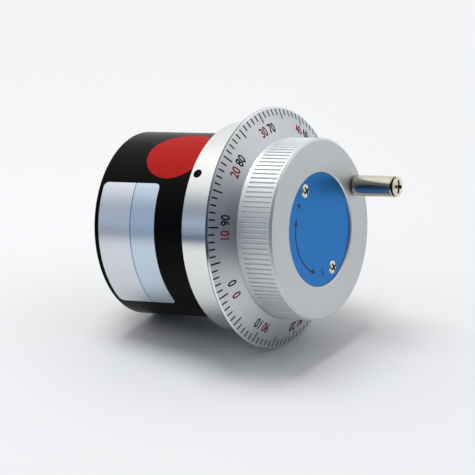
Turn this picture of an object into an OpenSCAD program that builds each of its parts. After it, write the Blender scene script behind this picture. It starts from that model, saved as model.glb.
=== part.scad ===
// Pulse generator handwheel for panel mounting. A graduated dial and a fluted knob turn
// together on a ball-bearing shaft. A flange ring carries them and seats on the panel, and
// the can behind it holds a magnetic detent with 100 steps a turn and an optical encoder.
//
// The spin axis is Y, the operator is at -Y and Z points up. The origin is the centre of
// the ring's rear face, which lies on the panel. Pieces are drawn along a local Z axis
// that points at the operator, and on_axis() lays it along -Y. All lengths are millimetres.

/* [Dial] */
// Diameter over the dial's rim
dial_d = 80; // [78:1:100]
// Thickness of the dial's rim
dial_rim_t = 0.6; // [0.5:0.1:2]
// Small break at the rear edge of the dial's rim
rim_break = 0.1; // [0.05:0.05:0.15]
// Chamfer at the front edge of the dial's rim
rim_chamfer = 0.3; // [0.1:0.05:0.35]
// Height of the dial's cone from its rim to the knob's seat
dial_rise = 4.8; // [3:0.1:8]
// Air gap between the flange ring and the dial
dial_gap = 0.5; // [0.3:0.1:1]

/* [Knob] */
// Diameter of the knob
knob_d = 60; // [58:1:70]
// Width of the knob along its axis
knob_w = 13.3; // [12:0.1:20]
// Number of flutes round the knob
flute_count = 110; // [60:1:140]
// Width of one flute at the knob's surface
flute_w = 0.6; // [0.3:0.05:0.9]
// Depth of one flute
flute_depth = 0.4; // [0.15:0.05:1]
// How far the lands between the flutes lie inside the smooth bands
land_drop = 0.04; // [0.02:0.01:0.1]
// Smooth band between the dial and the flutes
back_band = 2; // [1:0.1:4]
// Smooth band between the flutes and the front face
front_band = 1.4; // [0.8:0.1:4]
// Chamfer at the edge of the knob's face
knob_chamfer = 0.7; // [0.1:0.1:0.7]
// Small break at the other edges of the two bands
band_break = 0.2; // [0.05:0.05:0.3]
// Thickness of the knob's web, which the hub screw clamps
knob_web = 5.7; // [4:0.1:7]
// Diameter of the pocket for the hub screw
pocket_d = 17; // [16:0.5:22]
// Distance of the screws that join the dial and the knob from the spin axis
knob_screw_r = 22; // [20:0.1:23]
// Angle of the first of these screws, from +X
knob_screw_angle = 60; // [50:1:70]
// Thread of these screws
knob_screw_d = 3; // [2.5:0.1:3]
// Head diameter of these screws
knob_screw_head_d = 5.4; // [5:0.1:5.6]
// Head height of these screws
knob_screw_head_t = 2; // [1.5:0.1:2.5]
// Depth of these screws in the knob
knob_screw_grip = 5; // [4:0.1:5.5]

/* [Front plate] */
// Diameter of the round plate in the knob's face
plate_d = 37.4; // [36:0.1:40]
// Thickness of the plate
plate_t = 1.2; // [1.1:0.1:2]
// Depth of the plate's front face below the knob's face
plate_sink = 0.65; // [0.5:0.05:1]
// Chamfer at the edge of the plate's recess
recess_chamfer = 0.4; // [0.1:0.05:0.5]
// Pitch circle of the two plate screws
plate_screw_pcd = 30.8; // [28:0.1:31]
// Angle of the first plate screw, from +X
plate_screw_angle = 106.5; // [0:0.5:180]
// Thread of the plate screws
plate_screw_d = 2.5; // [2:0.1:2.5]
// Head diameter of the plate screws
plate_screw_head_d = 4.4; // [4:0.1:4.5]
// Width across the cross recess of the plate screws
plate_screw_cross = 3; // [2:0.1:3.2]
// Length of the plate screws below the plate
plate_screw_grip = 4; // [3:0.5:6]

/* [Handle] */
// Distance of the handle's axis inside the knob's edge
handle_inset = 4.7; // [4.4:0.1:6]
// Angle of the handle, from +X
handle_angle = 16.2; // [0:0.1:50]
// Diameter of the revolving sleeve
sleeve_d = 7; // [6:0.1:8]
// Length of the sleeve
sleeve_l = 14.9; // [10:0.1:25]
// Diameter of the pin's collar, which stands on the knob's face
pin_collar_d = 4.6; // [4.2:0.1:6]
// Height of the pin's collar
pin_collar_l = 0.4; // [0.3:0.1:2]
// Diameter of the pin that the sleeve turns on
pin_d = 3.6; // [3.4:0.1:4.5]
// Thread that holds the pin in the knob
pin_thread_d = 3; // [2.5:0.1:3]
// Depth of the pin's thread in the knob
pin_thread_l = 8; // [5:0.5:9]
// Diameter of the pin's head
pin_head_d = 6.6; // [5.5:0.1:7]
// Height of the straight part of the pin's head
pin_head_edge = 0.5; // [0.4:0.1:1.2]
// Height of the domed part of the pin's head
pin_head_dome = 0.6; // [0.3:0.1:1.2]
// Width across the cross recess of the pin's head
pin_cross = 4.4; // [3:0.1:4.8]
// Angle of the cross recess, from +X
pin_cross_angle = 71; // [0:1:90]

/* [Flange ring] */
// Outer diameter of the ring
ring_d = 70; // [69:0.5:74]
// Width of the ring along its axis
ring_w = 12.4; // [11:0.1:16]
// Depth of the can's seat in the ring's rear
can_seat = 6; // [5.5:0.1:6.5]
// Chamfer at the ring's outer edges
ring_chamfer = 0.4; // [0.1:0.1:0.8]
// Distance of the can's grub screws from the ring's rear face
grub_z = 2.9; // [2.5:0.1:3.5]
// Angle of the first grub screw, from +X
grub_angle = 131.3; // [120:0.1:140]
// Thread of the grub screws
grub_d = 3; // [2.5:0.1:3]
// Length of the grub screws
grub_l = 2.5; // [2:0.1:4]
// Depth of the spot in the can's wall that a grub screw's tip bears in
grub_spot = 0.5; // [0.3:0.1:0.8]

/* [Panel mount] */
// Pitch circle of the tapped holes in the ring's rear face
panel_pcd = 65.8; // [65:0.1:66]
// Number of tapped holes
panel_screws = 3; // [2:1:4]
// Core diameter of the tapped holes
panel_hole_d = 2.5; // [2:0.1:2.6]
// Depth of the tapped holes
panel_hole_l = 8; // [4:0.5:9]
// Angle of the first tapped hole, from +X
panel_angle = 71.3; // [65:0.1:78]

/* [Can] */
// Outer diameter of the can
can_d = 61.7; // [60:0.1:62]
// Length of the can behind the ring
can_l = 38.2; // [36:0.1:50]
// Wall of the can
can_wall = 1.5; // [1.2:0.1:2]
// Chamfer at the can's rear edge
can_chamfer = 0.4; // [0.1:0.1:0.6]
// Thickness of the rear cover
cover_t = 2; // [1.5:0.1:3]
// Depth of the rear cover below the can's rear edge
cover_sink = 0.4; // [0.2:0.1:1]
// Ledge in the can that the rear cover seats on
cover_ledge = 0.8; // [0.6:0.1:0.9]

/* [Shaft and bearings] */
// Diameter of the shaft
shaft_d = 6; // [5:0.1:6]
// Diameter of the shaft's nose, which carries the dial and the knob
nose_d = 8; // [7.5:0.1:9]
// Diameter of the collar between the front bearing and the dial
collar_d = 9.2; // [9:0.1:9.4]
// Outer diameter of the bearings
bearing_d = 19; // [19:0.1:20]
// Width of a bearing
bearing_w = 6; // [5:0.1:6]
// Distance between the two bearings
bearing_spacing = 4; // [2:0.1:5]
// Depth of the front bearing below the ring's front face
bearing_sink = 0.8; // [0.6:0.1:1]
// Wall of the hub round the bearings
hub_wall = 3; // [2:0.1:4]
// Diameter of a bearing ball
ball_d = 3.5; // [3:0.1:3.5]
// Number of balls in a bearing
ball_count = 7; // [6:1:8]
// Wall of a bearing's inner ring
inner_ring_t = 1.8; // [1.7:0.1:1.9]
// Wall of a bearing's outer ring
outer_ring_t = 1.8; // [1.7:0.1:1.9]
// Thickness of the retaining ring behind the rear bearing
circlip_t = 1; // [0.8:0.1:1.5]
// Width of the retaining ring's band inside its bore
circlip_w = 1.2; // [1:0.1:1.5]
// Gap between the ends of the retaining ring
circlip_gap = 3; // [2:0.1:4]
// Metal of the hub behind the retaining ring
hub_lip = 1.2; // [1:0.1:1.5]
// Diameter of the hub screw's thread
hub_screw_d = 4; // [3:0.1:4]
// Depth of the hub screw in the shaft
hub_screw_l = 10; // [8:0.5:12]
// Head diameter of the hub screw
hub_screw_head_d = 7.2; // [6:0.1:8]
// Head height of the hub screw
hub_screw_head_t = 2.6; // [2:0.1:2.8]
// Diameter of the hub screw's washer
washer_d = 14; // [12:0.5:15]
// Thickness of the hub screw's washer
washer_t = 1; // [0.8:0.1:1.2]

/* [Detent] */
// Steps in one turn, which is also the number of rotor teeth
detent_steps = 100; // [60:4:100]
// Diameter over the rotor's teeth
rotor_d = 36; // [32:0.5:37]
// Thickness of the rotor and of the magnet ring
detent_t = 5; // [4:0.5:6]
// Depth of the detent teeth
tooth_depth = 0.6; // [0.4:0.1:0.8]
// Air gap between the rotor's teeth and the poles
pole_gap = 0.3; // [0.3:0.05:0.5]
// Number of poles round the rotor
pole_count = 4; // [2:2:4]
// Teeth on one pole
pole_teeth = 5; // [3:2:5]
// Air gap between the hub and the rotor's disc
rotor_clear = 1.4; // [1:0.1:2]
// Length of the rotor's boss, which holds its set screw
boss_l = 4; // [4:0.1:5]
// Wall of the rotor's boss and of the code disc's flange
boss_wall = 4; // [3.5:0.1:5]
// Thread of the rotor's set screw
set_screw_d = 3; // [2:0.1:3]
// Radial length of a pole behind its teeth
pole_l = 3.6; // [3:0.1:4]
// Radial thickness of a magnet
magnet_t = 2.5; // [2:0.1:2.8]

/* [Encoder] */
// Diameter of the slotted code disc
code_disc_d = 40; // [38:0.5:41]
// Thickness of the code disc
code_disc_t = 0.3; // [0.2:0.05:0.5]
// Slots in the code disc
code_slots = 100; // [50:10:100]
// Radial length of a slot
slot_l = 3; // [2:0.1:4]
// Distance of the code disc from the rotor's boss, and of its hub's end from the disc
disc_step = 1.6; // [1:0.1:2]
// Wall of the code disc's hub
disc_hub_wall = 1.5; // [1.2:0.1:2]
// Metal left between the code disc's edge and its slots
slot_edge = 1; // [0.5:0.1:1.5]
// Gap in the light barrier that the disc runs through
barrier_gap = 2; // [1.5:0.1:2.4]
// Width of the light barrier round the axis
barrier_w = 12; // [8:0.5:14]
// Radial length of the light barrier
barrier_l = 10; // [9:0.5:10]
// How far the light barrier reaches in over the code disc
barrier_reach = 6; // [5:0.1:6.5]
// Thickness of the barrier's front arm
barrier_arm_t = 2.2; // [1.5:0.1:2.4]
// Thickness of the barrier's web, outside the disc's edge
barrier_web = 3; // [2.5:0.1:3.2]
// Height of the barrier's gap over the circuit board
barrier_stand = 3; // [2:0.1:4]
// Thickness of the circuit board
board_t = 1.6; // [1:0.1:2]
// Length of the two chips on the board
chip_l = 10; // [8:0.1:10.5]
// Width of a chip
chip_w = 6; // [4:0.1:7]
// Height of a chip
chip_t = 1.6; // [1:0.1:3]
// Distance of the chips from the board's middle line
chip_x = 8; // [6:0.1:9]
// Distance of the chips and the capacitor from the row of pins
board_parts_y = 11; // [9:0.1:12]
// Diameter of the capacitor
capacitor_d = 6; // [4:0.1:7]
// Height of the capacitor
capacitor_l = 6; // [4:0.1:8]

/* [Pillars] */
// Gap between the pillars and the can's wall
pillar_gap = 1.2; // [1:0.1:1.2]
// Width of the hexagonal pillars across their corners
pillar_d = 6; // [5:0.1:6]
// Angle of the first pillar, from +X
pillar_angle = 45; // [40:1:50]
// Thread of the pillars' studs
stud_d = 2.5; // [2:0.1:2.5]
// Depth that a stud or a cover screw enters the next piece
stud_grip = 4; // [3:0.1:4]
// Head diameter of the cover screws
cover_screw_head_d = 4.4; // [4:0.1:5]
// Head height of the cover screws
cover_screw_head_t = 1.5; // [1.2:0.1:2]

/* [Terminal strip] */
// Number of terminals
terminals = 6; // [2:1:6]
// Pitch of the terminals
terminal_pitch = 5; // [4:0.1:5]
// Width of the strip across the row of terminals
strip_w = 11; // [9:0.5:14]
// Height of the strip behind the rear cover
strip_h = 7; // [6:0.1:9]
// Length of the screw ear at each end of the strip
ear_l = 5; // [5:0.1:6]
// Thickness of a screw ear
ear_t = 2.5; // [2:0.1:4]
// Width of the ears as a share of the strip's width
ear_share = 0.7; // [0.5:0.05:1]
// Diameter of a terminal's screw well
well_d = 3.6; // [3:0.1:3.8]
// Depth of a terminal's screw well
well_l = 2; // [1.5:0.1:2.5]
// Diameter of a wire entry
wire_d = 2.4; // [1.5:0.1:2.6]
// Depth of a wire entry in the strip's side
wire_l = 3; // [2:0.1:4]
// Height of the wire entries over the strip's rear face
wire_z = 4; // [3.8:0.1:4.2]
// Diameter of the pins that lead to the circuit board
terminal_pin_d = 1; // [0.8:0.1:1.2]
// Thread of the screws in the strip's ears
strip_screw_d = 2; // [1.6:0.1:2.2]
// Head diameter of these screws
strip_screw_head_d = 3.6; // [3:0.1:4]
// Head height of these screws
strip_screw_head_t = 1.2; // [1:0.1:1.6]

/* [Clearances] */
// Radial clearance of a piece that slips over another
slip = 0.02; // [0.01:0.01:0.05]
// Radial clearance of a screw in its thread
thread_fit = 0.05; // [0.02:0.01:0.1]
// Radial clearance of a cover, plate or can in its seat
seat_fit = 0.1; // [0.05:0.05:0.3]
// Radial clearance of the plate in its recess
plate_fit = 0.15; // [0.1:0.05:0.2]
// Radial clearance of the handle's sleeve on its pin
sleeve_fit = 0.08; // [0.05:0.01:0.1]
// Gap at each end of the handle's sleeve
sleeve_gap = 0.3; // [0.3:0.05:0.5]
// Running clearance inside a bearing
ball_play = 0.05; // [0.02:0.01:0.08]

/* [Hidden] */
$fn = 96;

silver = [0.80, 0.81, 0.82];
black = [0.07, 0.08, 0.09];
blue = [0.13, 0.38, 0.70];
steel = [0.62, 0.63, 0.65];
brass = [0.80, 0.70, 0.45];
over = 1; // how far a cutting tool runs past the face that it cuts
bore_spare = 0.5; // how much deeper a threaded hole is than its screw
pin_clearance = 0.3; // round the terminal pins where they pass the rear cover
head_sink = 0.2; // how far the dial's screw heads lie inside its back

// Stations along the local axis, counted from the panel face towards the operator
web_back = can_seat;
dial_back = ring_w + dial_gap;
dial_rim = dial_back + dial_rim_t;
knob_back = dial_rim + dial_rise;
knob_front = knob_back + knob_w;
plate_front = knob_front - plate_sink;
plate_back = plate_front - plate_t;
web_front = knob_back + knob_web;
washer_front = web_front + washer_t;
knob_screw_seat = dial_back + head_sink + knob_screw_head_t;
collar_front = knob_front + pin_collar_l;
sleeve_back = collar_front + sleeve_gap;
sleeve_front = sleeve_back + sleeve_l;
pin_head_back = sleeve_front + sleeve_gap;

// Stations from the front bearing back to the rear cover
bearing1_front = ring_w - bearing_sink;
bearing1_back = bearing1_front - bearing_w;
bearing2_front = bearing1_back - bearing_spacing;
bearing2_back = bearing2_front - bearing_w;
hub_back = bearing2_back - circlip_t - hub_lip;
detent_front = hub_back - rotor_clear;
detent_back = detent_front - detent_t;
boss_back = detent_back - boss_l;
disc_front = boss_back - disc_step;
disc_back = disc_front - code_disc_t;
disc_hub_back = disc_back - disc_step;
board_front = disc_back - barrier_gap / 2 - barrier_stand;
board_back = board_front - board_t;
can_back = -can_l;
cover_back = can_back + cover_sink;
cover_front = cover_back + cover_t;
ear_back = cover_back - ear_t;
strip_back = cover_back - strip_h;
well_front = strip_back + well_l;

// Radii
shaft_r = shaft_d / 2;
nose_r = nose_d / 2;
bearing_r = bearing_d / 2;
hub_r = bearing_r + hub_wall;
can_r = can_d / 2;
can_bore_r = can_r - can_wall;
cover_r = can_bore_r + cover_ledge - seat_fit;
recess_r = plate_d / 2 + plate_fit;
shaft_flat = 0.4; // depth of the spot that the rotor's set screw bears in
rotor_r = rotor_d / 2;
pole_r = rotor_r + pole_gap;
pole_back_r = pole_r + tooth_depth + pole_l;
magnet_back_r = pole_back_r + magnet_t;
ball_r = ball_d / 2;
ball_track_r = (shaft_r + bearing_r) / 2; // centre circle of the balls
race_r = ball_r * 1.04; // the races are a little wider than the balls
circlip_groove = 0.5; // depth of the retaining ring's groove
pin_floor = 0.25; // metal left under the cross recess of the handle's pin
grub_tip_r = can_r - grub_spot;
handle_r = knob_d / 2 - handle_inset;
stud_r = stud_d / 2;
strip_l = terminals * terminal_pitch;
ear_screw_x = strip_l / 2 + ear_l / 2;
pitch_angle = 360 / detent_steps;
pole_w = 2 * pole_r * sin(pitch_angle * pole_teeth / 2);
pillar_r = can_bore_r - pillar_gap - pillar_d / 2;
boss_r = shaft_r + boss_wall;
boss_middle = boss_back + boss_l / 2;
disc_hub_r = shaft_r + disc_hub_wall;
slot_middle_r = code_disc_d / 2 - slot_edge - slot_l / 2;
slot_w = PI * slot_middle_r / code_slots; // as wide as the metal between two slots
dial_slope = dial_rise / ((dial_d - knob_d) / 2);

// ---------- Helpers ----------

module on_axis() rotate([90, 0, 0]) children();

// Copies round the axis at a radius, turned to face outwards
module around(count, radius, first = 0)
    for (i = [0 : count - 1]) rotate(first + i * 360 / count) translate([radius, 0, 0]) children();

// A round bar between two stations
module bar(r, z0, z1) translate([0, 0, z0]) cylinder(r = r, h = z1 - z0);

// A bar with one outer edge broken at its front, its back or both
module chamfered_bar(r, z0, z1, back = 0, front = 0)
    rotate_extrude() polygon([[0, z0], [r - back, z0], [r, z0 + back],
                              [r, z1 - front], [r - front, z1], [0, z1]]);

// A sleeve or ring between two stations
module pipe(r_out, r_in, z0, z1) difference() {
    bar(r_out, z0, z1);
    bar(r_in, z0 - over, z1 + over);
}

// A box between two stations, centred on the axis
module block(x, y, z0, z1) translate([-x / 2, -y / 2, z0]) cube([x, y, z1 - z0]);

// Cross recess of a screw, sunk from a station
module cross_recess(size, z, depth) {
    block(size, size / 4, z - depth, z + over);
    block(size / 4, size, z - depth, z + over);
}

// Hexagon socket of a screw, sunk from a station
module hex_socket(across, z, depth)
    translate([0, 0, z - depth]) cylinder(r = across / sqrt(3), h = depth + over, $fn = 6);

// Pan head that stands behind a station, and the cross recess in it
module pan_head(head_d, head_t, z) chamfered_bar(head_d / 2, z - head_t, z, head_t / 3, 0);
module pan_head_cross(head_d, head_t, z)
    mirror([0, 0, 1]) cross_recess(head_d * 0.55, head_t - z, head_t / 2);

// Copies at each terminal, and at the screw in each ear of the strip
module at_terminals()
    for (i = [0 : terminals - 1]) translate([(i - (terminals - 1) / 2) * terminal_pitch, 0, 0]) children();
module at_ears() for (side = [-1, 1]) translate([side * ear_screw_x, 0, 0]) children();

// Cone under a countersunk head, ending flush at a station
module countersink(head_r, r, z) translate([0, 0, z - (head_r - r)])
    cylinder(r1 = r, r2 = head_r, h = head_r - r);

// Raised countersunk screw whose head is flush at station z and points along +Z
module raised_screw(head_r, r, cross, z, grip) {
    rise = head_r * 0.28;
    dome_r = (head_r * head_r + rise * rise) / (2 * rise);
    difference() {
        union() {
            countersink(head_r, r, z);
            bar(r, z - grip, z - (head_r - r));
            intersection() {
                translate([0, 0, z + rise - dome_r]) sphere(r = dome_r);
                bar(head_r, z, z + rise + over);
            }
        }
        cross_recess(cross, z + rise, head_r * 0.45);
    }
}

// Grub screw along +X from its tip at x0 to its socket at x1
module grub(r, x0, x1) rotate([0, 90, 0]) {
    tip = 0.6;
    difference() {
        union() {
            bar(r * 0.65, x0, x0 + tip);
            bar(r, x0 + tip, x1);
        }
        hex_socket(r, x1, r * 0.8);
    }
}

// Hexagonal pillar with a stud at its front and a threaded bore at its back
module pillar(z_back, z_front, stud_l, bore_l) difference() {
    union() {
        translate([0, 0, z_back]) cylinder(r = pillar_d / 2, h = z_front - z_back, $fn = 6);
        bar(stud_r, z_front, z_front + stud_l);
    }
    bar(stud_r + thread_fit, z_back - over, z_back + bore_l);
}

// Stud holes on the pillars' circle
module stud_holes(z0, z1) around(3, pillar_r, pillar_angle) bar(stud_r + thread_fit, z0, z1);

// ---------- Fixed pieces ----------

// Turned ring with the panel face, the can's seat and the bearing hub
module flange_ring() color(silver) on_axis() difference() {
    union() {
        chamfered_bar(ring_d / 2, 0, ring_w, ring_chamfer, ring_chamfer);
        bar(hub_r, hub_back, over);
    }
    // seat of the can, left open round the hub
    pipe(can_r + seat_fit / 2, hub_r, -over, web_back);
    // bearing seats, the shoulder between them and the groove of the retaining ring
    bar(bearing_r - outer_ring_t + 0.3, hub_back - over, ring_w + over);
    bar(bearing_r + slip, bearing1_back, ring_w + over);
    bar(bearing_r + slip, hub_back - over, bearing2_front);
    bar(bearing_r + circlip_groove, bearing2_back - circlip_t, bearing2_back);
    // holes: panel screws, pillar studs and grub screws
    around(panel_screws, panel_pcd / 2, panel_angle) bar(panel_hole_d / 2, -over, panel_hole_l);
    stud_holes(web_back - over, web_back + stud_grip + bore_spare);
    translate([0, 0, grub_z]) around(3, can_r, grub_angle) rotate([0, 90, 0])
        bar(grub_d / 2 + thread_fit, -over, (ring_d - can_d) / 2 + over);
}

// Drawn can with a ledge at its rear for the cover
module housing_can() color(black) on_axis() difference() {
    chamfered_bar(can_r, can_back, web_back, can_chamfer, 0);
    bar(can_bore_r, can_back - over, web_back + over);
    bar(can_bore_r + cover_ledge, can_back - over, cover_front);
    translate([0, 0, grub_z]) around(3, grub_tip_r, grub_angle) rotate([0, 90, 0])
        bar(grub_d / 2, 0, grub_spot + over);
}

// Three grub screws that hold the can in the ring
module can_grub_screws() color(steel) on_axis()
    translate([0, 0, grub_z]) around(3, 0, grub_angle)
        grub(grub_d / 2, grub_tip_r, grub_tip_r + grub_l);

// Round cover let into the can's rear
module rear_cover() color(black) on_axis() difference() {
    bar(cover_r, cover_back, cover_front);
    around(3, pillar_r, pillar_angle) bar(stud_r + thread_fit, cover_back - over, cover_front + over);
    at_terminals() bar(terminal_pin_d / 2 + pin_clearance, cover_back - over, cover_front + over);
    at_ears() bar(strip_screw_d / 2 + thread_fit, cover_back - over, cover_front + over);
}

// Three pan-head screws through the cover into the rear pillars
module cover_screws() color(steel) on_axis() around(3, pillar_r, pillar_angle) difference() {
    union() {
        bar(stud_r, cover_back, cover_front + stud_grip);
        pan_head(cover_screw_head_d, cover_screw_head_t, cover_back);
    }
    pan_head_cross(cover_screw_head_d, cover_screw_head_t, cover_back);
}

// Moulded strip with a screw well and a wire entry for each terminal
module terminal_strip() color([0.16, 0.34, 0.26]) on_axis() difference() {
    union() {
        block(strip_l, strip_w, strip_back, cover_back);
        block(strip_l + 2 * ear_l, strip_w * ear_share, ear_back, cover_back);
    }
    at_terminals() {
        bar(well_d / 2, strip_back - over, well_front);
        bar(terminal_pin_d / 2 + seat_fit, strip_back, cover_back + over);
        translate([0, -strip_w / 2, strip_back + wire_z]) rotate([-90, 0, 0]) bar(wire_d / 2, -over, wire_l);
    }
    at_ears() bar(strip_screw_d / 2 + thread_fit, ear_back - over, cover_back + over);
}

// One slotted screw at the bottom of each terminal's well
module terminal_screws() color(steel) on_axis() at_terminals() difference() {
    head_back = well_front - well_l * 0.7;
    bar(well_d / 2 - 2 * seat_fit, head_back, well_front);
    block(well_d, well_d / 7, head_back - over, head_back + well_l * 0.3);
}

// Two screws that hold the strip's ears to the cover
module strip_screws() color(steel) on_axis() at_ears() difference() {
    union() {
        bar(strip_screw_d / 2, ear_back, cover_front + strip_screw_d);
        pan_head(strip_screw_head_d, strip_screw_head_t, ear_back);
    }
    pan_head_cross(strip_screw_head_d, strip_screw_head_t, ear_back);
}

// Pins from the terminals through the cover to the circuit board
module terminal_pins() color(brass) on_axis() at_terminals()
    bar(terminal_pin_d / 2, well_front, board_front);

// ---------- Bearings ----------

// Places its children at both bearings, with the bearing's back face at zero
module at_bearings() for (z = [bearing1_back, bearing2_back]) translate([0, 0, z]) children();

module race(track_r) translate([0, 0, bearing_w / 2])
    rotate_extrude() translate([track_r, 0]) circle(r = race_r, $fn = 48);

module bearing_outer_rings() color(steel) on_axis() at_bearings() difference() {
    pipe(bearing_r, bearing_r - outer_ring_t, 0, bearing_w);
    race(ball_track_r - (race_r - ball_r));
}

module bearing_inner_rings() color(steel) on_axis() at_bearings() difference() {
    pipe(shaft_r + inner_ring_t, shaft_r + slip, 0, bearing_w);
    race(ball_track_r + (race_r - ball_r) - ball_play);
}

module bearing_balls() color(steel) on_axis() at_bearings()
    around(ball_count, ball_track_r) translate([0, 0, bearing_w / 2]) sphere(r = ball_r, $fn = 32);

// Internal retaining ring with its gap and two eyes
module bearing_circlip() color(steel) on_axis()
    translate([0, 0, bearing2_back - circlip_t + 0.03]) linear_extrude(circlip_t - 0.03) difference() {
        union() {
            difference() {
                circle(r = bearing_r + circlip_groove - 0.05);
                circle(r = bearing_r - circlip_w);
            }
            circlip_eyes() circle(r = circlip_w * 1.1);
        }
        circlip_eyes() circle(r = circlip_w / 2);
        translate([bearing_r - 3 * circlip_w, -circlip_gap / 2]) square([4 * circlip_w, circlip_gap]);
    }
module circlip_eyes() for (a = [-24, 24]) rotate(a) translate([bearing_r - circlip_w * 1.2, 0]) children();

// Spacer between the inner rings
module bearing_spacer() color(steel) on_axis()
    pipe(shaft_r + inner_ring_t, shaft_r + slip, bearing2_front, bearing1_back);

// ---------- Pillars ----------

module front_pillars() color(brass) on_axis() around(3, pillar_r, pillar_angle)
    pillar(detent_front, web_back, stud_grip, stud_grip + bore_spare);

module middle_pillars() color(brass) on_axis() around(3, pillar_r, pillar_angle)
    pillar(board_front, detent_back, detent_t + stud_grip, stud_grip + bore_spare);

module rear_pillars() color(brass) on_axis() around(3, pillar_r, pillar_angle)
    pillar(cover_front, board_back, board_t + stud_grip, stud_grip + bore_spare);

// ---------- Magnetic detent ----------

// Soft-iron ring clamped between the pillars, with a flat seat for each magnet
module magnet_ring() color(steel) on_axis() difference() {
    pipe(can_bore_r - 4 * seat_fit, magnet_back_r - 0.3, detent_back, detent_front);
    around(pole_count, magnet_back_r - magnet_t, 0)
        block(2 * magnet_t, pole_w + 2 * seat_fit, detent_back - over, detent_front + over);
    stud_holes(detent_back - over, detent_front + over);
}

module detent_magnets() color([0.35, 0.36, 0.38]) on_axis()
    around(pole_count, pole_back_r + magnet_t / 2) block(magnet_t, pole_w, detent_back, detent_front);

// Toothed pole shoes that stand opposite the rotor's teeth
module detent_poles() color(steel) on_axis() around(pole_count, 0)
    translate([0, 0, detent_back]) linear_extrude(detent_t) polygon(pole_outline());

// Outline of one pole: flat at its back, with teeth on the rotor's pitch at its front
function polar(r, a) = [r * cos(a), r * sin(a)];
function pole_outline() = concat(
    [[pole_back_r, pole_w / 2], [pole_back_r, -pole_w / 2]],
    [for (i = [0 : pole_teeth - 1], corner = [0 : 3])
        let (middle = (i - (pole_teeth - 1) / 2) * pitch_angle,
             r = (corner == 0 || corner == 3) ? pole_r + tooth_depth : pole_r,
             a = middle + (corner < 2 ? -1 : 1) * pitch_angle / 4)
        polar(r, a)]);

// Rotor with one tooth for each step, a nose against the rear bearing and a boss
module detent_rotor() color(steel) on_axis() difference() {
    union() {
        translate([0, 0, detent_back]) linear_extrude(detent_t) polygon(rotor_outline());
        bar(collar_d / 2, detent_front - over, bearing2_back);
        bar(boss_r, boss_back, detent_back + over);
    }
    bar(shaft_r + slip, boss_back - over, bearing2_back + over);
    translate([0, 0, boss_middle]) rotate([0, 90, 0])
        bar(set_screw_d / 2 + thread_fit, shaft_r - over, boss_r + over);
}

function rotor_outline() = [for (i = [0 : detent_steps - 1], corner = [0 : 3])
    let (r = (corner == 0 || corner == 3) ? rotor_r - tooth_depth : rotor_r,
         a = i * pitch_angle + (corner < 2 ? -1 : 1) * pitch_angle / 4)
    polar(r, a)];

module rotor_set_screw() color(steel) on_axis() translate([0, 0, boss_middle])
    grub(set_screw_d / 2, shaft_r - shaft_flat, boss_r - shaft_flat);

// ---------- Encoder ----------

// Hub that clamps the code disc on the shaft's tail
module code_disc_hub() color(brass) on_axis() difference() {
    union() {
        bar(boss_r, disc_front, boss_back);
        bar(disc_hub_r, disc_hub_back, disc_front + over);
    }
    bar(shaft_r + slip, disc_hub_back - over, boss_back + over);
}

// Thin disc with one radial slot for each pulse
module code_disc() color([0.25, 0.26, 0.28]) on_axis() difference() {
    pipe(code_disc_d / 2, disc_hub_r + slip, disc_back, disc_front);
    around(code_slots, slot_middle_r) block(slot_l, slot_w, disc_back - over, disc_front + over);
}

// Fork with the light source on one side of the disc and the sensor on the other
module light_barrier() color([0.12, 0.12, 0.13]) on_axis() {
    middle_r = code_disc_d / 2 - barrier_reach + barrier_l / 2;
    middle = (disc_front + disc_back) / 2;
    rotate(90) difference() {
        translate([middle_r, 0, 0])
            block(barrier_l, barrier_w, board_front, middle + barrier_gap / 2 + barrier_arm_t);
        translate([middle_r - barrier_web, 0, 0])
            block(barrier_l, barrier_w + 2 * over, middle - barrier_gap / 2, middle + barrier_gap / 2);
    }
}

// Round board on the pillars, with holes for their studs and the terminal pins
module circuit_board() color([0.10, 0.35, 0.20]) on_axis() difference() {
    bar(can_bore_r - 4 * seat_fit, board_back, board_front);
    stud_holes(board_back - over, board_front + over);
    at_terminals() bar(terminal_pin_d / 2 + thread_fit, board_back - over, board_front + over);
}

// Chips and a capacitor on the board's rear side
module board_parts() color([0.15, 0.15, 0.16]) on_axis() {
    for (side = [-1, 1]) translate([side * chip_x, board_parts_y, 0])
        block(chip_l, chip_w, board_back - chip_t, board_back);
    translate([0, -board_parts_y, 0]) bar(capacitor_d / 2, board_back - capacitor_l, board_back);
}

// ---------- Wheel ----------

// Shaft with a collar on the front bearing and a threaded nose for dial and knob
module shaft() color(steel) on_axis() difference() {
    union() {
        bar(shaft_r, disc_hub_back, bearing1_front + over / 2);
        bar(collar_d / 2, bearing1_front, dial_back);
        bar(nose_r, dial_back - over / 2, web_front - 0.5);
    }
    bar(hub_screw_d / 2 + thread_fit, web_front - hub_screw_l - over, web_front);
    translate([shaft_r - shaft_flat, 0, boss_middle]) rotate([0, 90, 0]) bar(set_screw_d / 2, 0, over);
}

// Dial with a graduated cone, its rim standing clear of the ring
module scale_dial() color(silver) on_axis() difference() {
    rotate_extrude($fn = 180) polygon([[0, dial_back], [dial_d / 2 - rim_break, dial_back],
        [dial_d / 2, dial_back + rim_break], [dial_d / 2, dial_rim - rim_chamfer],
        [dial_d / 2 - rim_chamfer, dial_rim + rim_chamfer * dial_slope], [knob_d / 2, knob_back],
        [0, knob_back]]);
    bar(nose_r + slip, dial_back - over, knob_back + over);
    around(3, knob_screw_r, knob_screw_angle) {
        bar(knob_screw_d / 2 + thread_fit, dial_back - over, knob_back + over);
        bar(knob_screw_head_d / 2 + 2 * seat_fit, dial_back - over, knob_screw_seat);
    }
}

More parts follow.
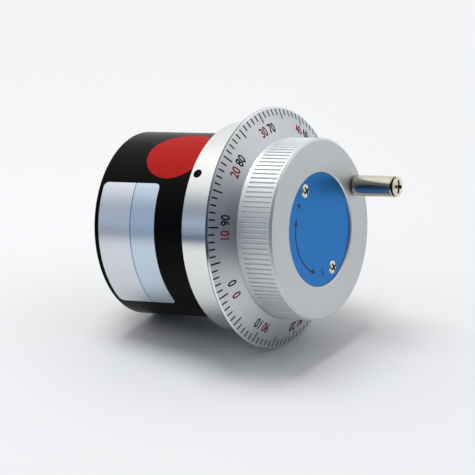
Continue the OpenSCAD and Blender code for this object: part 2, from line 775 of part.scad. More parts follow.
// Three cheese-head screws from the dial's back into the knob
module knob_screws() color(steel) on_axis() around(3, knob_screw_r, knob_screw_angle) difference() {
    union() {
        bar(knob_screw_d / 2, knob_screw_seat, knob_back + knob_screw_grip);
        bar(knob_screw_head_d / 2, knob_screw_seat - knob_screw_head_t, knob_screw_seat);
    }
    mirror([0, 0, 1])
        hex_socket(knob_screw_head_d / 2, knob_screw_head_t - knob_screw_seat, knob_screw_head_t / 2);
}

// Knob with a fluted rim between two smooth bands, a recess for the plate and a pocket
module knob() color(silver) on_axis() difference() {
    union() {
        chamfered_bar(knob_d / 2, knob_back, knob_back + back_band, band_break, band_break);
        translate([0, 0, knob_back + back_band - over / 2])
            linear_extrude(knob_w - back_band - front_band + over) polygon(flute_outline());
        chamfered_bar(knob_d / 2, knob_front - front_band, knob_front, band_break, knob_chamfer);
    }
    bar(nose_r + slip, knob_back - over, web_front + over);
    bar(pocket_d / 2, web_front, knob_front);
    bar(recess_r, plate_back, knob_front + over);
    countersink(recess_r + recess_chamfer + over, recess_r, knob_front + over);
    around(2, plate_screw_pcd / 2, plate_screw_angle)
        bar(plate_screw_d / 2 + thread_fit, plate_back - plate_screw_grip - bore_spare, plate_back + over);
    around(1, handle_r, handle_angle)
        bar(pin_thread_d / 2 + thread_fit, knob_front - pin_thread_l - bore_spare, knob_front + over);
    around(3, knob_screw_r, knob_screw_angle)
        bar(knob_screw_d / 2 + thread_fit, knob_back - over, knob_back + knob_screw_grip + bore_spare);
}

// Closed outline of the knob's rim: a land, then a V flute, all the way round
function flute_outline() = [for (i = [0 : flute_count - 1], corner = [0 : 2])
    let (half = asin(flute_w / knob_d),
         a = i * 360 / flute_count + (corner - 1) * half,
         r = knob_d / 2 - (corner == 1 ? flute_depth : land_drop))
    polar(r, a)];

// Washer and screw that clamp the knob and the dial to the shaft's collar
module hub_washer() color(steel) on_axis()
    pipe(washer_d / 2, hub_screw_d / 2 + thread_fit, web_front, washer_front);

module hub_screw() color(steel) on_axis() difference() {
    union() {
        bar(hub_screw_d / 2, web_front - hub_screw_l, washer_front);
        chamfered_bar(hub_screw_head_d / 2, washer_front, washer_front + hub_screw_head_t, 0, 0.6);
    }
    cross_recess(hub_screw_head_d * 0.55, washer_front + hub_screw_head_t, hub_screw_head_t * 0.6);
}

// Round plate in the knob's face with two countersunk holes
module front_plate() color(blue) on_axis() difference() {
    bar(plate_d / 2, plate_back, plate_front);
    around(2, plate_screw_pcd / 2, plate_screw_angle) {
        bar(plate_screw_d / 2 + thread_fit, plate_back - over, plate_front);
        countersink(plate_screw_head_d / 2, plate_screw_d / 2, plate_front);
    }
}

module plate_screws() color(brass) on_axis() around(2, plate_screw_pcd / 2, plate_screw_angle)
    raised_screw(plate_screw_head_d / 2, plate_screw_d / 2, plate_screw_cross, plate_front,
                 plate_t + plate_screw_grip);

// ---------- Handle ----------

// Shoulder pin with a domed, cross-recessed head
module handle_pin() color(brass) on_axis() around(1, handle_r, handle_angle) difference() {
    head_r = pin_head_d / 2;
    dome_r = (head_r * head_r + pin_head_dome * pin_head_dome) / (2 * pin_head_dome);
    edge = pin_head_back + pin_head_edge;
    union() {
        bar(pin_thread_d / 2, knob_front - pin_thread_l, knob_front + over);
        bar(pin_collar_d / 2, knob_front, collar_front);
        bar(pin_d / 2, knob_front, edge);
        bar(head_r, pin_head_back, edge);
        intersection() {
            translate([0, 0, edge + pin_head_dome - dome_r]) sphere(r = dome_r);
            bar(head_r, edge - over / 2, edge + pin_head_dome + over);
        }
    }
    rotate(pin_cross_angle - handle_angle) cross_recess(pin_cross, edge + pin_head_dome,
        pin_head_edge + pin_head_dome - pin_floor);
}

// Revolving sleeve of the handle
module handle_sleeve() color(brass) on_axis() around(1, handle_r, handle_angle) difference() {
    chamfered_bar(sleeve_d / 2, sleeve_back, sleeve_front, 0.2, 0.2);
    bar(pin_d / 2 + sleeve_fit, sleeve_back - over, sleeve_front + over);
}

// ---------- Drawing ----------

flange_ring();
housing_can();
can_grub_screws();
rear_cover();
cover_screws();
terminal_strip();
terminal_screws();
strip_screws();
terminal_pins();
bearing_outer_rings();
bearing_balls();
bearing_circlip();
front_pillars();
middle_pillars();
rear_pillars();
magnet_ring();
detent_magnets();
detent_poles();
circuit_board();
light_barrier();
board_parts();
shaft();
bearing_inner_rings();
bearing_spacer();
scale_dial();
knob();
knob_screws();
hub_washer();
hub_screw();
front_plate();
plate_screws();
handle_pin();
detent_rotor();
rotor_set_screw();
code_disc_hub();
code_disc();
handle_sleeve();
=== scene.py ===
"""Looks of the pulse generator handwheel: finishes, printed scale, label, sticker, light and camera."""

import math

import bmesh
import bpy
from mathutils import Matrix, Vector


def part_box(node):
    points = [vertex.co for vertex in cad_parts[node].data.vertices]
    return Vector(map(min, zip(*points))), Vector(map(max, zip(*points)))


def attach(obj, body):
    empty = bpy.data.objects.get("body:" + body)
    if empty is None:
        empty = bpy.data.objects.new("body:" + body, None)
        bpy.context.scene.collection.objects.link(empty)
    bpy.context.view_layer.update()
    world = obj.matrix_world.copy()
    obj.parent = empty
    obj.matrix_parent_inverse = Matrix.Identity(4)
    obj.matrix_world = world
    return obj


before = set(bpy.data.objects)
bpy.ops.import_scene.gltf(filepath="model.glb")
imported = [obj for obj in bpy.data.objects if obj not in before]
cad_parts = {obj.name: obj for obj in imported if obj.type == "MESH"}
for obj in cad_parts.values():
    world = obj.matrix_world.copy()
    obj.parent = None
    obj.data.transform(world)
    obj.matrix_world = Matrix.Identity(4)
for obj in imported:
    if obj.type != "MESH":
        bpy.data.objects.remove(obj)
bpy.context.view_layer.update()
MM = 0.001

# ---------- Sizes taken from the frame ----------
# Radii and stations along Y, in metres. The operator is at -Y.


def radius_of(node):
    low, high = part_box(node)
    return (high.x - low.x) / 2


def front_of(node):
    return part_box(node)[0].y


def back_of(node):
    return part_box(node)[1].y


DIAL_R = radius_of("scale_dial")
KNOB_R = radius_of("knob")
CAN_R = radius_of("housing_can")
DIAL_EDGE = 0.6 * MM  # length of the dial's rim behind the cone
RIM_Y = back_of("scale_dial") - DIAL_EDGE  # where the cone would start at the full radius
SEAT_Y = back_of("knob")  # where the dial's cone ends under the knob
CONE_SLOPE = (RIM_Y - SEAT_Y) / (DIAL_R - KNOB_R)
PLATE_Y = front_of("front_plate")
PIN_CROSS_Y = front_of("handle_pin") + 0.55 * MM  # inside the cross recess of the pin's head

# ---------- Geometry helpers ----------


def polar(r, angle, y):
    """Point at a radius and an angle in degrees, counted from +X towards +Z."""
    a = math.radians(angle)
    return Vector((r * math.cos(a), y, r * math.sin(a)))


def on_cone(r, angle, lift=0.0):
    """Point over the dial's graduated cone."""
    y = RIM_Y - CONE_SLOPE * (DIAL_R - r)
    scale = lift / math.hypot(1, CONE_SLOPE)
    return polar(r + CONE_SLOPE * scale, angle, y - scale)


def on_can(around, along, lift=0.0):
    """Point over the can: angle in degrees and distance behind the panel."""
    return polar(CAN_R + lift, around, along)


def new_object(name, bm, smooth_angle=None):
    """Mesh object from a bmesh, with smooth faces up to an edge angle in degrees."""
    bmesh.ops.recalc_face_normals(bm, faces=bm.faces)
    mesh = bpy.data.meshes.new(name)
    bm.to_mesh(mesh)
    bm.free()
    obj = bpy.data.objects.new(name, mesh)
    bpy.context.scene.collection.objects.link(obj)
    if smooth_angle is not None:
        shade(obj, smooth_angle)
    return obj


def shade(obj, angle):
    """Smooth shading, with edges sharper than an angle kept crisp."""
    obj.data.polygons.foreach_set("use_smooth", [True] * len(obj.data.polygons))
    obj.data.set_sharp_from_angle(angle=math.radians(angle))


def prism(bm, outline, thickness, bevel=0.0):
    """Adds a flat outline with a thickness; the top edge may step in by a bevel."""
    low = [bm.verts.new((u, v, 0.0)) for u, v in outline]
    if bevel:
        cu = sum(u for u, v in outline) / len(outline)
        cv = sum(v for u, v in outline) / len(outline)
        reach = max(math.hypot(u - cu, v - cv) for u, v in outline)
        k = 1 - bevel / reach
        mid = [bm.verts.new((u, v, thickness - bevel)) for u, v in outline]
        top = [bm.verts.new((cu + (u - cu) * k, cv + (v - cv) * k, thickness)) for u, v in outline]
        rings = [low, mid, top]
    else:
        top = [bm.verts.new((u, v, thickness)) for u, v in outline]
        rings = [low, top]
    for a, b in zip(rings, rings[1:]):
        for i in range(len(a)):
            j = (i + 1) % len(a)
            bm.faces.new((a[i], a[j], b[j], b[i]))
    bm.faces.new(top)
    bm.faces.new(list(reversed(low)))


def slice_along(bm, axis, step):
    """Cuts every face at a regular step so that the mesh can bend."""
    values = [v.co[axis] for v in bm.verts]
    normal = [0, 0, 0]
    normal[axis] = 1
    count = int((max(values) - min(values)) / step)
    for i in range(1, count + 1):
        point = [0, 0, 0]
        point[axis] = min(values) + i * step
        everything = bm.verts[:] + bm.edges[:] + bm.faces[:]
        bmesh.ops.bisect_plane(bm, geom=everything, plane_co=point, plane_no=normal)


def bend(bm, place):
    for v in bm.verts:
        v.co = place(*v.co)


def rounded_rectangle(width, height, corner, steps=8):
    """Closed outline centred on the origin."""
    points = []
    for sx, sy, start in ((1, 1, 0), (-1, 1, 90), (-1, -1, 180), (1, -1, 270)):
        for i in range(steps + 1):
            a = math.radians(start + 90 * i / steps)
            points.append((sx * (width / 2 - corner) + corner * math.cos(a),
                           sy * (height / 2 - corner) + corner * math.sin(a)))
    return points


def circle_outline(r, steps=96):
    return [(r * math.cos(2 * math.pi * i / steps), r * math.sin(2 * math.pi * i / steps))
            for i in range(steps)]


# ---------- Material helpers ----------


class Nodes:
    """Small wrapper that builds a node tree and links as it goes."""

    def __init__(self, tree):
        self.tree = tree

    def add(self, kind, inputs=None, **settings):
        node = self.tree.nodes.new(kind)
        for key, value in settings.items():
            setattr(node, key, value)
        for key, value in (inputs or {}).items():
            self.put(node.inputs[key], value)
        return node

    def put(self, socket, value):
        if isinstance(value, bpy.types.NodeSocket):
            self.tree.links.new(value, socket)
        else:
            socket.default_value = value

    def math(self, operation, *values):
        node = self.add("ShaderNodeMath", operation=operation)
        for socket, value in zip(node.inputs, values):
            self.put(socket, value)
        return node.outputs[0]

    def mix(self, factor, a, b, blend="MIX"):
        """Mix of two colours."""
        return self.add("ShaderNodeMix", {0: factor, 6: a, 7: b}, data_type="RGBA",
                        blend_type=blend).outputs[2]

    def blend(self, factor, a, b):
        """Mix of two numbers."""
        return self.add("ShaderNodeMix", {0: factor, 2: a, 3: b}, data_type="FLOAT").outputs[0]

    def ramp(self, factor, stops):
        node = self.add("ShaderNodeValToRGB")
        self.put(node.inputs[0], factor)
        elements = node.color_ramp.elements
        while len(elements) < len(stops):
            elements.new(0.5)
        for element, (position, colour) in zip(elements, stops):
            element.position = position
            element.color = colour
        return node.outputs[0]

    def noise(self, vector, scale, detail=3.0, roughness=0.5):
        return self.add("ShaderNodeTexNoise", {"Vector": vector, "Scale": scale, "Detail": detail,
                                               "Roughness": roughness}).outputs[0]

    def spread(self, value, low, high):
        """Maps 0..1 to low..high."""
        return self.add("ShaderNodeMapRange", {"Value": value, "To Min": low,
                                               "To Max": high}).outputs[0]

    def ease(self, value, low, high):
        """Rises softly from 0 to 1 as the value goes from low to high."""
        return self.add("ShaderNodeMapRange", {"Value": value, "From Min": low, "From Max": high},
                        interpolation_type="SMOOTHSTEP").outputs[0]

    def dot(self, vector, other):
        return self.add("ShaderNodeVectorMath", {0: vector, 1: other},
                        operation="DOT_PRODUCT").outputs["Value"]

    def position(self):
        return self.add("ShaderNodeTexCoord").outputs["Object"]

    def split(self, vector):
        return self.add("ShaderNodeSeparateXYZ", {"Vector": vector}).outputs

    def join(self, x, y, z):
        return self.add("ShaderNodeCombineXYZ", {"X": x, "Y": y, "Z": z}).outputs[0]

    def bump(self, height, strength, distance):
        return self.add("ShaderNodeBump", {"Height": height, "Strength": strength,
                                           "Distance": distance}).outputs[0]


def rgb(*values):
    """Linear colour from 0-255 display values."""
    out = [v / 255 for v in values]
    out = [v / 12.92 if v <= 0.04045 else ((v + 0.055) / 1.055) ** 2.4 for v in out]
    return (*out, 1.0)


def shader(name, **sockets):
    """New material with its principled shader's own sockets set."""
    material = bpy.data.materials.new(name)
    material.use_nodes = True
    principled = material.node_tree.nodes["Principled BSDF"]
    for key, value in sockets.items():
        principled.inputs[key.replace("_", " ")].default_value = value
    return material, Nodes(material.node_tree), principled


GROOVE = 0.00002  # depth of the turning marks
WEAR = 0.04  # how far the gloss varies
# The polished band inside a rim also gets a painted highlight: a paler colour.
CHAMFER = 0.5 * MM  # width of the polished band inside a rim
CHAMFER_GLOSS = 0.14
# Width of the painted shade line along a rim's outer edge.
RIM_SHADE_WIDTH = 0.05 * MM


def turned_metal(name, low, high, roughness, anisotropic=0.5, front=1.0, rim=None):
    """Lathe-turned metal: fine rings about Y, and a slight mottle in colour and gloss.

    Faces square to the axis may get painted shade: their colour is scaled down by a factor.
    A rim of a given radius has a polished chamfer with a painted highlight in its colour, and a
    painted shade line along its outer edge.
    """
    material, n, p = shader(name, Metallic=1.0, Anisotropic=anisotropic, Anisotropic_Rotation=0.25)
    where = n.position()
    x, y, z = n.split(where)
    r = n.math("SQRT", n.math("ADD", n.math("MULTIPLY", x, x), n.math("MULTIPLY", z, z)))
    rings = n.noise(n.join(r, y, 0.0), 5200.0, 2.0, 0.7)
    broad = n.noise(n.join(r, y, 0.0), 700.0, 2.0)
    mottle = n.noise(where, 90.0, 4.0)
    tone = n.blend(0.5, broad, mottle)
    colour = n.mix(tone, low, high)
    # Painted shade: faces square to the axis get their colour scaled down by the front factor.
    if front < 1:
        normal = n.add("ShaderNodeTexCoord").outputs["Normal"]
        square = n.math("GREATER_THAN", n.math("ABSOLUTE", n.split(normal)["Y"]), 0.9)
        shaded_face = [(*(v * front for v in c[:3]), 1.0) for c in (low, high)]
        colour = n.mix(square, colour, n.mix(tone, *shaded_face))
    gloss = n.spread(n.blend(0.4, rings, mottle), roughness - WEAR, roughness + WEAR)
    # Painted highlight: paler colour on the rim's chamfer. Painted shade: dark colour on its outermost
    # edge.
    if rim:
        chamfer = n.math("GREATER_THAN", r, rim - CHAMFER)
        edge = n.math("GREATER_THAN", r, rim - RIM_SHADE_WIDTH)
        colour = n.mix(chamfer, colour, rgb(232, 233, 234))
        colour = n.mix(edge, colour, rgb(120, 122, 125))
        gloss = n.blend(chamfer, gloss, CHAMFER_GLOSS)
    n.put(p.inputs["Base Color"], colour)
    n.put(p.inputs["Roughness"], gloss)
    n.put(p.inputs["Normal"], n.bump(rings, 0.5, GROOVE))
    tangent = n.add("ShaderNodeTangent", direction_type="RADIAL", axis="Y").outputs[0]
    n.put(p.inputs["Tangent"], tangent)
    return material


def polished_metal(name, low, high, roughness, recess_shade_y=None):
    """Plated or polished metal with faint cloudiness and hairlines.

    Deeper than a station along Y its colour is painted dark, as painted shade in a recess.
    """
    material, n, p = shader(name, Metallic=1.0)
    where = n.position()
    cloud = n.noise(where, 260.0, 4.0)
    x, y, z = n.split(where)
    drawn_out = n.join(n.math("MULTIPLY", x, 0.05), y, n.math("MULTIPLY", z, 0.05))
    hair = n.noise(drawn_out, 6000.0, 2.0)
    colour = n.mix(cloud, low, high)
    # Painted shade: everything deeper than the station gets a dark colour.
    if recess_shade_y:
        colour = n.mix(n.math("GREATER_THAN", y, recess_shade_y), colour, rgb(52, 50, 44))
    n.put(p.inputs["Base Color"], colour)
    gloss = n.spread(n.blend(0.5, cloud, hair), roughness * 0.6, roughness * 1.4)
    n.put(p.inputs["Roughness"], gloss)
    n.put(p.inputs["Normal"], n.bump(hair, 0.15, 0.000004))
    return material


def coated(name, low, high, roughness, grain=900.0, relief=0.00002, specular=0.5,
           metallic=0.0):
    """Paint, anodising, moulded plastic or paper with a fine grain."""
    material, n, p = shader(name, Specular_IOR_Level=specular, Metallic=metallic)
    where = n.position()
    fine = n.noise(where, grain, 3.0, 0.6)
    cloud = n.noise(where, grain / 18, 3.0)
    n.put(p.inputs["Base Color"], n.mix(cloud, low, high))
    gloss = n.spread(n.blend(0.5, fine, cloud), roughness * 0.85, roughness * 1.15)
    n.put(p.inputs["Roughness"], gloss)
    n.put(p.inputs["Normal"], n.bump(fine, 0.35, relief))
    return material


SCREW_NICKEL = (rgb(214, 208, 184), rgb(228, 223, 202), 0.16)

MATERIALS = {
    "ring": turned_metal("ring_aluminium", rgb(224, 226, 224), rgb(234, 235, 233), 0.17, 0.7),
    # The dial's rim gets the painted chamfer highlight and the painted shade line.
    "dial": turned_metal("dial_aluminium", rgb(200, 203, 206), rgb(210, 213, 215), 0.4, 0.5,
                         rim=DIAL_R),
    # The knob's front faces get painted shade, at 0.9 of their colour.
    "knob": turned_metal("knob_aluminium", rgb(212, 215, 215), rgb(222, 224, 224), 0.52, 0.2,
                         front=0.9),
    "can": coated("black_can", rgb(3, 3, 4), rgb(6, 6, 7), 0.3, 1500.0, 0.00001, 0.05),
    "black_screw": coated("black_oxide", rgb(16, 16, 18), rgb(24, 24, 26), 0.4, 900.0, 0.00001,
                          0.3),
    "nickel": polished_metal("nickel", rgb(196, 192, 176), rgb(208, 204, 190), 0.2),
    # Painted shade in the screws' cross recesses, deeper than the plate's front; on the pin, all deeper
    # than 0.55 mm behind its front.
    "screw_nickel": polished_metal("screw_nickel", *SCREW_NICKEL, PLATE_Y),
    "pin_nickel": polished_metal("pin_nickel", *SCREW_NICKEL, PIN_CROSS_Y),
    "plate": coated("blue_plate", rgb(28, 116, 190), rgb(36, 124, 198), 0.38, 1400.0, 0.00001,
                    0.3, 0.85),
    "steel": polished_metal("zinc_steel", rgb(196, 198, 202), rgb(214, 216, 220), 0.25),
    "brass": polished_metal("pillar_brass", rgb(210, 178, 110), rgb(224, 194, 130), 0.25),
    "iron": turned_metal("soft_iron", rgb(150, 151, 153), rgb(168, 169, 171), 0.35, 0.2),
    "magnet": coated("magnet_grey", rgb(96, 98, 102), rgb(112, 114, 118), 0.45, metallic=0.6),
    "green": coated("green_plastic", rgb(28, 92, 62), rgb(36, 104, 72), 0.5, 700.0),
    "board": coated("board_green", rgb(20, 84, 48), rgb(26, 96, 56), 0.35, 500.0),
    "plastic": coated("black_plastic", rgb(24, 24, 25), rgb(32, 32, 33), 0.5, 700.0),
    "black_ink": coated("black_ink", rgb(6, 7, 9), rgb(14, 15, 18), 0.6, 3000.0, 0.000004, 0.1),
    "red_ink": coated("red_ink", rgb(128, 22, 34), rgb(146, 30, 42), 0.6, 3000.0, 0.000004, 0.15),
    "navy_ink": coated("navy_ink", rgb(20, 34, 66), rgb(28, 44, 80), 0.5, 3000.0, 0.000004, 0.3),
    "sticker": coated("red_sticker", rgb(166, 16, 13), rgb(178, 22, 18), 0.55, 1600.0, 0.000012,
                      0.08),
}

NODE_MATERIAL = {
    "flange_ring": "ring", "scale_dial": "dial", "knob": "knob", "front_plate": "plate",
    "housing_can": "can", "rear_cover": "can", "can_grub_screws": "black_screw",
    "handle_sleeve": "nickel", "handle_pin": "pin_nickel", "plate_screws": "screw_nickel",
    "terminal_pins": "brass", "front_pillars": "brass", "middle_pillars": "brass",
    "rear_pillars": "brass", "code_disc_hub": "brass", "terminal_strip": "green",
    "circuit_board": "board", "light_barrier": "plastic", "board_parts": "plastic",
    "detent_magnets": "magnet", "magnet_ring": "iron", "detent_poles": "iron",
    "detent_rotor": "iron",
}  # every other node is zinc-plated steel
for node_name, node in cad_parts.items():
    node.data.materials.clear()
    node.data.materials.append(MATERIALS[NODE_MATERIAL.get(node_name, "steel")])


def dress(obj, material, body):
    """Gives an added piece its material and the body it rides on."""
    obj.data.materials.append(material)
    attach(obj, body)
    return obj


# ---------- Printed scale on the dial ----------

DIVISIONS = 100
STEP = 360 / DIVISIONS
ZERO_ANGLE = 196.7  # where the zero mark stands at rest
MARK_OUTER = 39.4 * MM
MARK_SHORT = 37.3 * MM
MARK_LONG = 36.1 * MM
MARK_WIDTH = 0.52 * MM
INK = 0.02 * MM  # thickness of the printed ink
FIGURE_MIDDLE = 33.8 * MM
FIGURE_HEIGHT = 3.1 * MM
FIGURE_SQUEEZE = 0.88  # width of a number as a share of the typeface's own
FIGURE_OFFSET = 1.12  # from the mark to the middle of a number, in divisions
BOLDER = 0.022  # how much the strokes are thickened, as a share of the type size


def copy_into(bm, part):
    """Adds a finished bmesh to a larger one."""
    mesh = bpy.data.meshes.new("part")
    part.to_mesh(mesh)
    part.free()
    bm.from_mesh(mesh)
    bpy.data.meshes.remove(mesh)


def scale_marks():
    """All the graduation marks, with a longer one at every fifth."""
    bm = bmesh.new()
    for i in range(DIVISIONS):
        angle = ZERO_ANGLE - i * STEP
        inner = MARK_LONG if i % 5 == 0 else MARK_SHORT
        part = bmesh.new()
        prism(part, [(-MARK_WIDTH / 2, inner), (MARK_WIDTH / 2, inner),
                     (MARK_WIDTH / 2, MARK_OUTER), (-MARK_WIDTH / 2, MARK_OUTER)], INK)
        bend(part, lambda u, v, w: on_cone(v, angle - math.degrees(u / v), w))
        copy_into(bm, part)
    return dress(new_object("scale_marks", bm), MATERIALS["black_ink"], "wheel")


def text_mesh(words, height, squeeze, thickness):
    """Flat bmesh of a number, centred on the origin, reading along +u with its top at +v."""
    curve = bpy.data.curves.new("figure", "FONT")
    curve.body = words
    curve.resolution_u = 6
    curve.offset = BOLDER
    holder = bpy.data.objects.new("figure", curve)
    bpy.context.scene.collection.objects.link(holder)
    mesh = bpy.data.meshes.new_from_object(holder)
    bpy.data.objects.remove(holder)
    bpy.data.curves.remove(curve)
    bm = bmesh.new()
    bm.from_mesh(mesh)
    bpy.data.meshes.remove(mesh)
    us = [v.co.x for v in bm.verts]
    vs = [v.co.y for v in bm.verts]
    k = height / (max(vs) - min(vs))
    for v in bm.verts:
        v.co = Vector(((v.co.x - (max(us) + min(us)) / 2) * k * squeeze,
                       (v.co.y - (max(vs) + min(vs)) / 2) * k, 0))
    made = bmesh.ops.extrude_face_region(bm, geom=bm.faces[:])
    for v in made["geom"]:
        if isinstance(v, bmesh.types.BMVert):
            v.co.z = thickness
    return bm


def scale_figures(name, material, sign, side):
    """Numbers at every tenth mark, counted up clockwise (sign +1) or the other way (-1).

    Side is +1 for numbers clockwise of their mark.
    """
    bm = bmesh.new()
    for mark in range(0, DIVISIONS, 10):
        number = (sign * mark) % DIVISIONS
        angle = ZERO_ANGLE - (mark + side * FIGURE_OFFSET) * STEP
        part = text_mesh(str(number), FIGURE_HEIGHT, FIGURE_SQUEEZE, INK)
        bend(part, lambda u, v, w: on_cone(FIGURE_MIDDLE + v,
                                           angle - math.degrees(u / FIGURE_MIDDLE), w))
        copy_into(bm, part)
    return dress(new_object(name, bm), material, "wheel")


scale_marks()
scale_figures("red_figures", MATERIALS["red_ink"], 1, -1)
scale_figures("black_figures", MATERIALS["black_ink"], -1, 1)

# ---------- Label and sticker on the can ----------

LABEL_FRONT = 13.6 * MM  # distance behind the panel face
LABEL_BACK = 36.2 * MM
LABEL_START = 134.8  # degrees
LABEL_END = 218.2
LABEL_CORNER = 1.8 * MM
RULE_Y = 23.3 * MM
RULE_WIDTH = 0.32 * MM
STICKER_R = 11.8 * MM
STICKER_ANGLE = 109.3
STICKER_Y = 12.2 * MM
FILM = 0.12 * MM  # thickness of foil and paper


def label_material():
    """Silver foil with a pale blue header band behind a blue rule."""
    material, n, p = shader("label_foil", Metallic=0.75)
    where = n.position()
    x, y, z = n.split(where)
    fine = n.noise(where, 2500.0, 2.0)
    cloud = n.noise(where, 60.0, 3.0)
    silver = n.mix(cloud, rgb(216, 221, 226), rgb(228, 232, 236))
    header = n.mix(cloud, rgb(198, 214, 228), rgb(208, 222, 234))
    from_rule = n.math("SUBTRACT", y, RULE_Y)
    in_header = n.math("LESS_THAN", from_rule, 0.0)
    on_rule = n.math("LESS_THAN", n.math("ABSOLUTE", from_rule), RULE_WIDTH / 2)
    colour = n.mix(in_header, silver, header)
    n.put(p.inputs["Base Color"], n.mix(on_rule, colour, rgb(60, 120, 180)))
    n.put(p.inputs["Roughness"], n.spread(fine, 0.23, 0.28))
    n.put(p.inputs["Normal"], n.bump(fine, 0.05, 0.000002))
    return material


def can_film(name, outline, middle_angle, middle_y):
    """Thin film with the given outline, laid round the can."""
    bm = bmesh.new()
    prism(bm, outline, FILM, FILM / 3)
    slice_along(bm, 0, CAN_R * math.radians(3))
    bend(bm, lambda u, v, w: on_can(middle_angle + math.degrees(u / CAN_R), middle_y + v, w))
    return new_object(name, bm, 30)


label_outline = rounded_rectangle(CAN_R * math.radians(LABEL_END - LABEL_START),
                                  LABEL_BACK - LABEL_FRONT, LABEL_CORNER)
label = can_film("rating_label", label_outline, (LABEL_START + LABEL_END) / 2,
                 (LABEL_FRONT + LABEL_BACK) / 2)
dress(label, label_material(), "root")

sticker = can_film("round_sticker", circle_outline(STICKER_R), STICKER_ANGLE, STICKER_Y)
dress(sticker, MATERIALS["sticker"], "root")

# ---------- Signs on the front plate ----------

ARROW_R = 14.3 * MM
ARROW_ENDS = (157, 235)  # degrees
ARROW_WIDTH = 0.5 * MM
TIP_LENGTH = 2.9 * MM
TIP_WIDTH = 1.9 * MM
PLUS = (14.7 * MM, 130)  # radius and angle of its middle
PLUS_LENGTH = 2.3 * MM
MINUS = (14.5 * MM, 262)
MINUS_LENGTH = 2.8 * MM
MINUS_TILT = 102
SIGN_WIDTH = 0.45 * MM


def plate_sign(name, build):
    """Ink on the plate, drawn flat by the given function."""
    bm = bmesh.new()
    build(bm)
    bend(bm, lambda u, v, w: Vector((u, PLATE_Y - w, v)))
    return dress(new_object(name, bm), MATERIALS["navy_ink"], "wheel")


def arc_band(bm, r, width, start, end, steps=48):
    """Flat arc of a given width between two angles."""
    angles = [math.radians(start + (end - start) * i / steps) for i in range(steps + 1)]
    far, near = r + width / 2, r - width / 2
    outer = [(far * math.cos(a), far * math.sin(a)) for a in angles]
    inner = [(near * math.cos(a), near * math.sin(a)) for a in reversed(angles)]
    prism(bm, outer + inner, INK)


def arrow_tip(bm, r, angle, turn, length, width):
    """Triangle on the arc, pointing along the turn (+1 is towards larger angles)."""
    tip = angle + turn * math.degrees(length / r)
    points = [(r + width / 2, angle), (r, tip), (r - width / 2, angle)]
    outline = [(q * math.cos(math.radians(a)), q * math.sin(math.radians(a))) for q, a in points]
    prism(bm, outline, INK)


def turning_arrow(bm):
    start, end = ARROW_ENDS
    arc_band(bm, ARROW_R, ARROW_WIDTH, start, end)
    arrow_tip(bm, ARROW_R, start, -1, TIP_LENGTH, TIP_WIDTH)
    arrow_tip(bm, ARROW_R, end, 1, TIP_LENGTH, TIP_WIDTH)


def bar_at(bm, radius, angle, length, tilt):
    """Flat bar centred at a polar place and turned by a tilt."""
    a, t = math.radians(angle), math.radians(tilt)
    u, v = length / 2, SIGN_WIDTH / 2
    corners = [(-u, -v), (u, -v), (u, v), (-u, v)]
    prism(bm, [(radius * math.cos(a) + u * math.cos(t) - v * math.sin(t),
                radius * math.sin(a) + u * math.sin(t) + v * math.cos(t)) for u, v in corners], INK)


def plus_and_minus(bm):
    bar_at(bm, *PLUS, PLUS_LENGTH, 130)
    bar_at(bm, *PLUS, PLUS_LENGTH, 40)
    bar_at(bm, *MINUS, MINUS_LENGTH, MINUS_TILT)


plate_sign("turning_arrow", turning_arrow)
plate_sign("plus_minus", plus_and_minus)

# ---------- Floor ----------
# The unit lies on the dial's rim and on the can's rear edge.

FLOOR_TOUCH_FRONT = Vector((0, back_of("scale_dial") - 0.15 * MM, -DIAL_R))
FLOOR_TOUCH_BACK = Vector((0, back_of("housing_can") - 0.4 * MM, -CAN_R))
RISE = FLOOR_TOUCH_BACK - FLOOR_TOUCH_FRONT
TILT = math.atan2(RISE.z, RISE.y)
FLOOR_UP = Vector((0, -math.sin(TILT), math.cos(TILT)))
FLOOR_R = 0.3
BACKGROUND = rgb(244, 245, 247)


def floor_material():
    """Pale floor that fades into the background at its edge and is clear from below."""
    material = bpy.data.materials.new("floor")
    material.use_nodes = True
    n = Nodes(material.node_tree)
    n.tree.nodes.clear()
    where = n.position()
    distance = n.add("ShaderNodeVectorMath", {0: where}, operation="LENGTH").outputs["Value"]
    fade = n.ramp(n.math("DIVIDE", distance, FLOOR_R), [(0.4, (0, 0, 0, 1)), (1.0, (1, 1, 1, 1))])
    clear = n.math("MAXIMUM", fade, n.add("ShaderNodeNewGeometry").outputs["Backfacing"])
    diffuse = n.add("ShaderNodeBsdfDiffuse", {"Color": rgb(230, 231, 232)}).outputs[0]
    see_through = n.add("ShaderNodeBsdfTransparent").outputs[0]
    mixed = n.add("ShaderNodeMixShader", {0: clear, 1: diffuse, 2: see_through}).outputs[0]
    n.add("ShaderNodeOutputMaterial", {"Surface": mixed})
    return material


def make_floor():
    bm = bmesh.new()
    bmesh.ops.create_circle(bm, cap_ends=True, segments=96, radius=FLOOR_R)
    floor = new_object("floor", bm)
    floor.location = (FLOOR_TOUCH_FRONT + FLOOR_TOUCH_BACK) / 2
    floor.rotation_euler = (TILT, 0, 0)
    floor.data.materials.append(floor_material())


make_floor()

# ---------- Light ----------

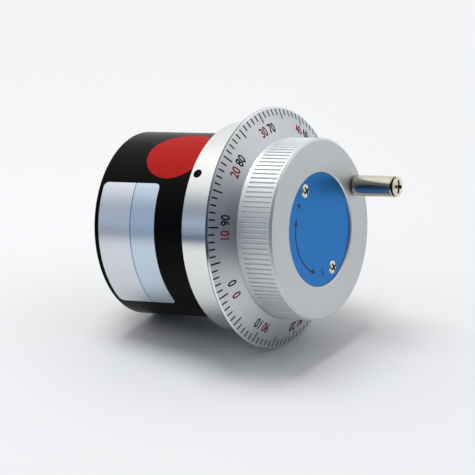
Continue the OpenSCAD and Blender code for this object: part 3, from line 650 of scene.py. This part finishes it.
# Brightness of the studio by height over the floor: the sine of the elevation and a colour.
STUDIO = [(-1.0, (0.90, 0.91, 0.92)), (-0.20, (0.86, 0.87, 0.88)), (-0.12, (0.66, 0.69, 0.74)),
          (-0.04, (0.03, 0.06, 0.12)), (0.00, (0.12, 0.18, 0.27)), (0.05, (0.30, 0.38, 0.50)),
          (0.13, (0.33, 0.42, 0.57)), (0.20, (0.47, 0.55, 0.72)), (0.28, (0.34, 0.40, 0.53)),
          (0.40, (0.31, 0.36, 0.43)), (0.50, (0.52, 0.57, 0.62)), (0.60, (0.88, 0.90, 0.92)),
          (0.75, (1.25, 1.25, 1.28)), (0.90, (0.65, 0.65, 0.65)), (1.0, (0.20, 0.20, 0.20))]
BRIGHT_SIDE = [(-1.0, (0.90, 0.91, 0.93)), (-0.06, (0.88, 0.89, 0.91)), (0.0, (0.84, 0.86, 0.88)),
               (0.30, (0.94, 0.95, 0.97)), (0.60, (1.02, 1.02, 1.02)), (0.75, (1.20, 1.20, 1.20)),
               (0.90, (0.65, 0.65, 0.65)), (1.0, (0.20, 0.20, 0.20))]
WINDOW_SIDE = Vector((0.93, 0.37, 0.0))  # the brighter side of the tent
DARK_SIDE = Vector((-0.65, -0.75, 0.12)).normalized()  # the room in front of the tent
DARKEST = (0.1, 0.1, 0.115, 1.0)  # what is left of the tent's light there
BACKDROP_TOP = -0.2  # below this height lies the backdrop round the floor
LAMP_PLACE = (0.02, 0.04, 0.92)
LAMP_SIZE = 0.5
LAMP_POWER = 4.9


def make_world():
    """Bright tent, open and dark in front; the camera and metal see a plain pale backdrop."""
    world = bpy.data.worlds.new("studio")
    bpy.context.scene.world = world
    world.use_nodes = True
    n = Nodes(world.node_tree)
    n.tree.nodes.clear()
    direction = n.add("ShaderNodeTexCoord").outputs["Generated"]
    height = n.dot(direction, FLOOR_UP)
    level = n.math("MULTIPLY_ADD", height, 0.5, 0.5)
    left = n.ramp(level, [((h + 1) / 2, (*colour, 1)) for h, colour in STUDIO])
    right = n.ramp(level, [((h + 1) / 2, (*colour, 1)) for h, colour in BRIGHT_SIDE])
    tent = n.mix(n.ease(n.dot(direction, WINDOW_SIDE), -0.25, 0.3), left, right)
    in_front = n.ease(n.dot(direction, DARK_SIDE), 0.45, 0.85)
    opening = n.math("MULTIPLY", in_front, n.ease(height, -0.14, -0.04))
    room = n.mix(1.0, tent, n.mix(opening, (1, 1, 1, 1), DARKEST), "MULTIPLY")
    rays = n.add("ShaderNodeLightPath").outputs
    mirrored = n.math("MAXIMUM", rays["Is Glossy Ray"], rays["Is Transmission Ray"])
    backdrop = n.math("MULTIPLY", mirrored, n.math("LESS_THAN", height, BACKDROP_TOP))
    colour = n.mix(n.math("MAXIMUM", rays["Is Camera Ray"], backdrop), room, BACKGROUND)
    background = n.add("ShaderNodeBackground", {"Color": colour, "Strength": 1.0}).outputs[0]
    n.add("ShaderNodeOutputWorld", {"Surface": background})


def make_lamp():
    """Round soft lamp overhead, turned to the origin."""
    data = bpy.data.lights.new("key_lamp", "AREA")
    data.shape = "DISK"
    data.size = LAMP_SIZE
    data.energy = LAMP_POWER
    lamp = bpy.data.objects.new("key_lamp", data)
    lamp.location = LAMP_PLACE
    lamp.rotation_euler = (-Vector(LAMP_PLACE)).to_track_quat("-Z", "Y").to_euler()
    bpy.context.scene.collection.objects.link(lamp)


make_world()
make_lamp()

# ---------- Camera ----------
# It stands upright on the floor, in front, to the left and above.

CAMERA_PLACE = Vector((-799.9, -570.9, 300.2)) * MM
CAMERA_AIM = Vector((0.0, 2.1, -4.1)) * MM
CAMERA_UP = Vector((0.0, -0.1852, 0.9827))
LENS = 233.3
SENSOR = 36.0


def make_camera():
    data = bpy.data.cameras.new("camera")
    data.lens = LENS
    data.sensor_width = SENSOR
    data.clip_start = 0.05
    data.clip_end = 20.0
    camera = bpy.data.objects.new("camera", data)
    back = (CAMERA_PLACE - CAMERA_AIM).normalized()
    right = CAMERA_UP.cross(back).normalized()
    turn = Matrix((right, back.cross(right), back)).transposed()
    camera.matrix_world = Matrix.Translation(CAMERA_PLACE) @ turn.to_4x4()
    bpy.context.scene.collection.objects.link(camera)
    bpy.context.scene.camera = camera


make_camera()
bpy.context.scene.view_settings.view_transform = "Standard"
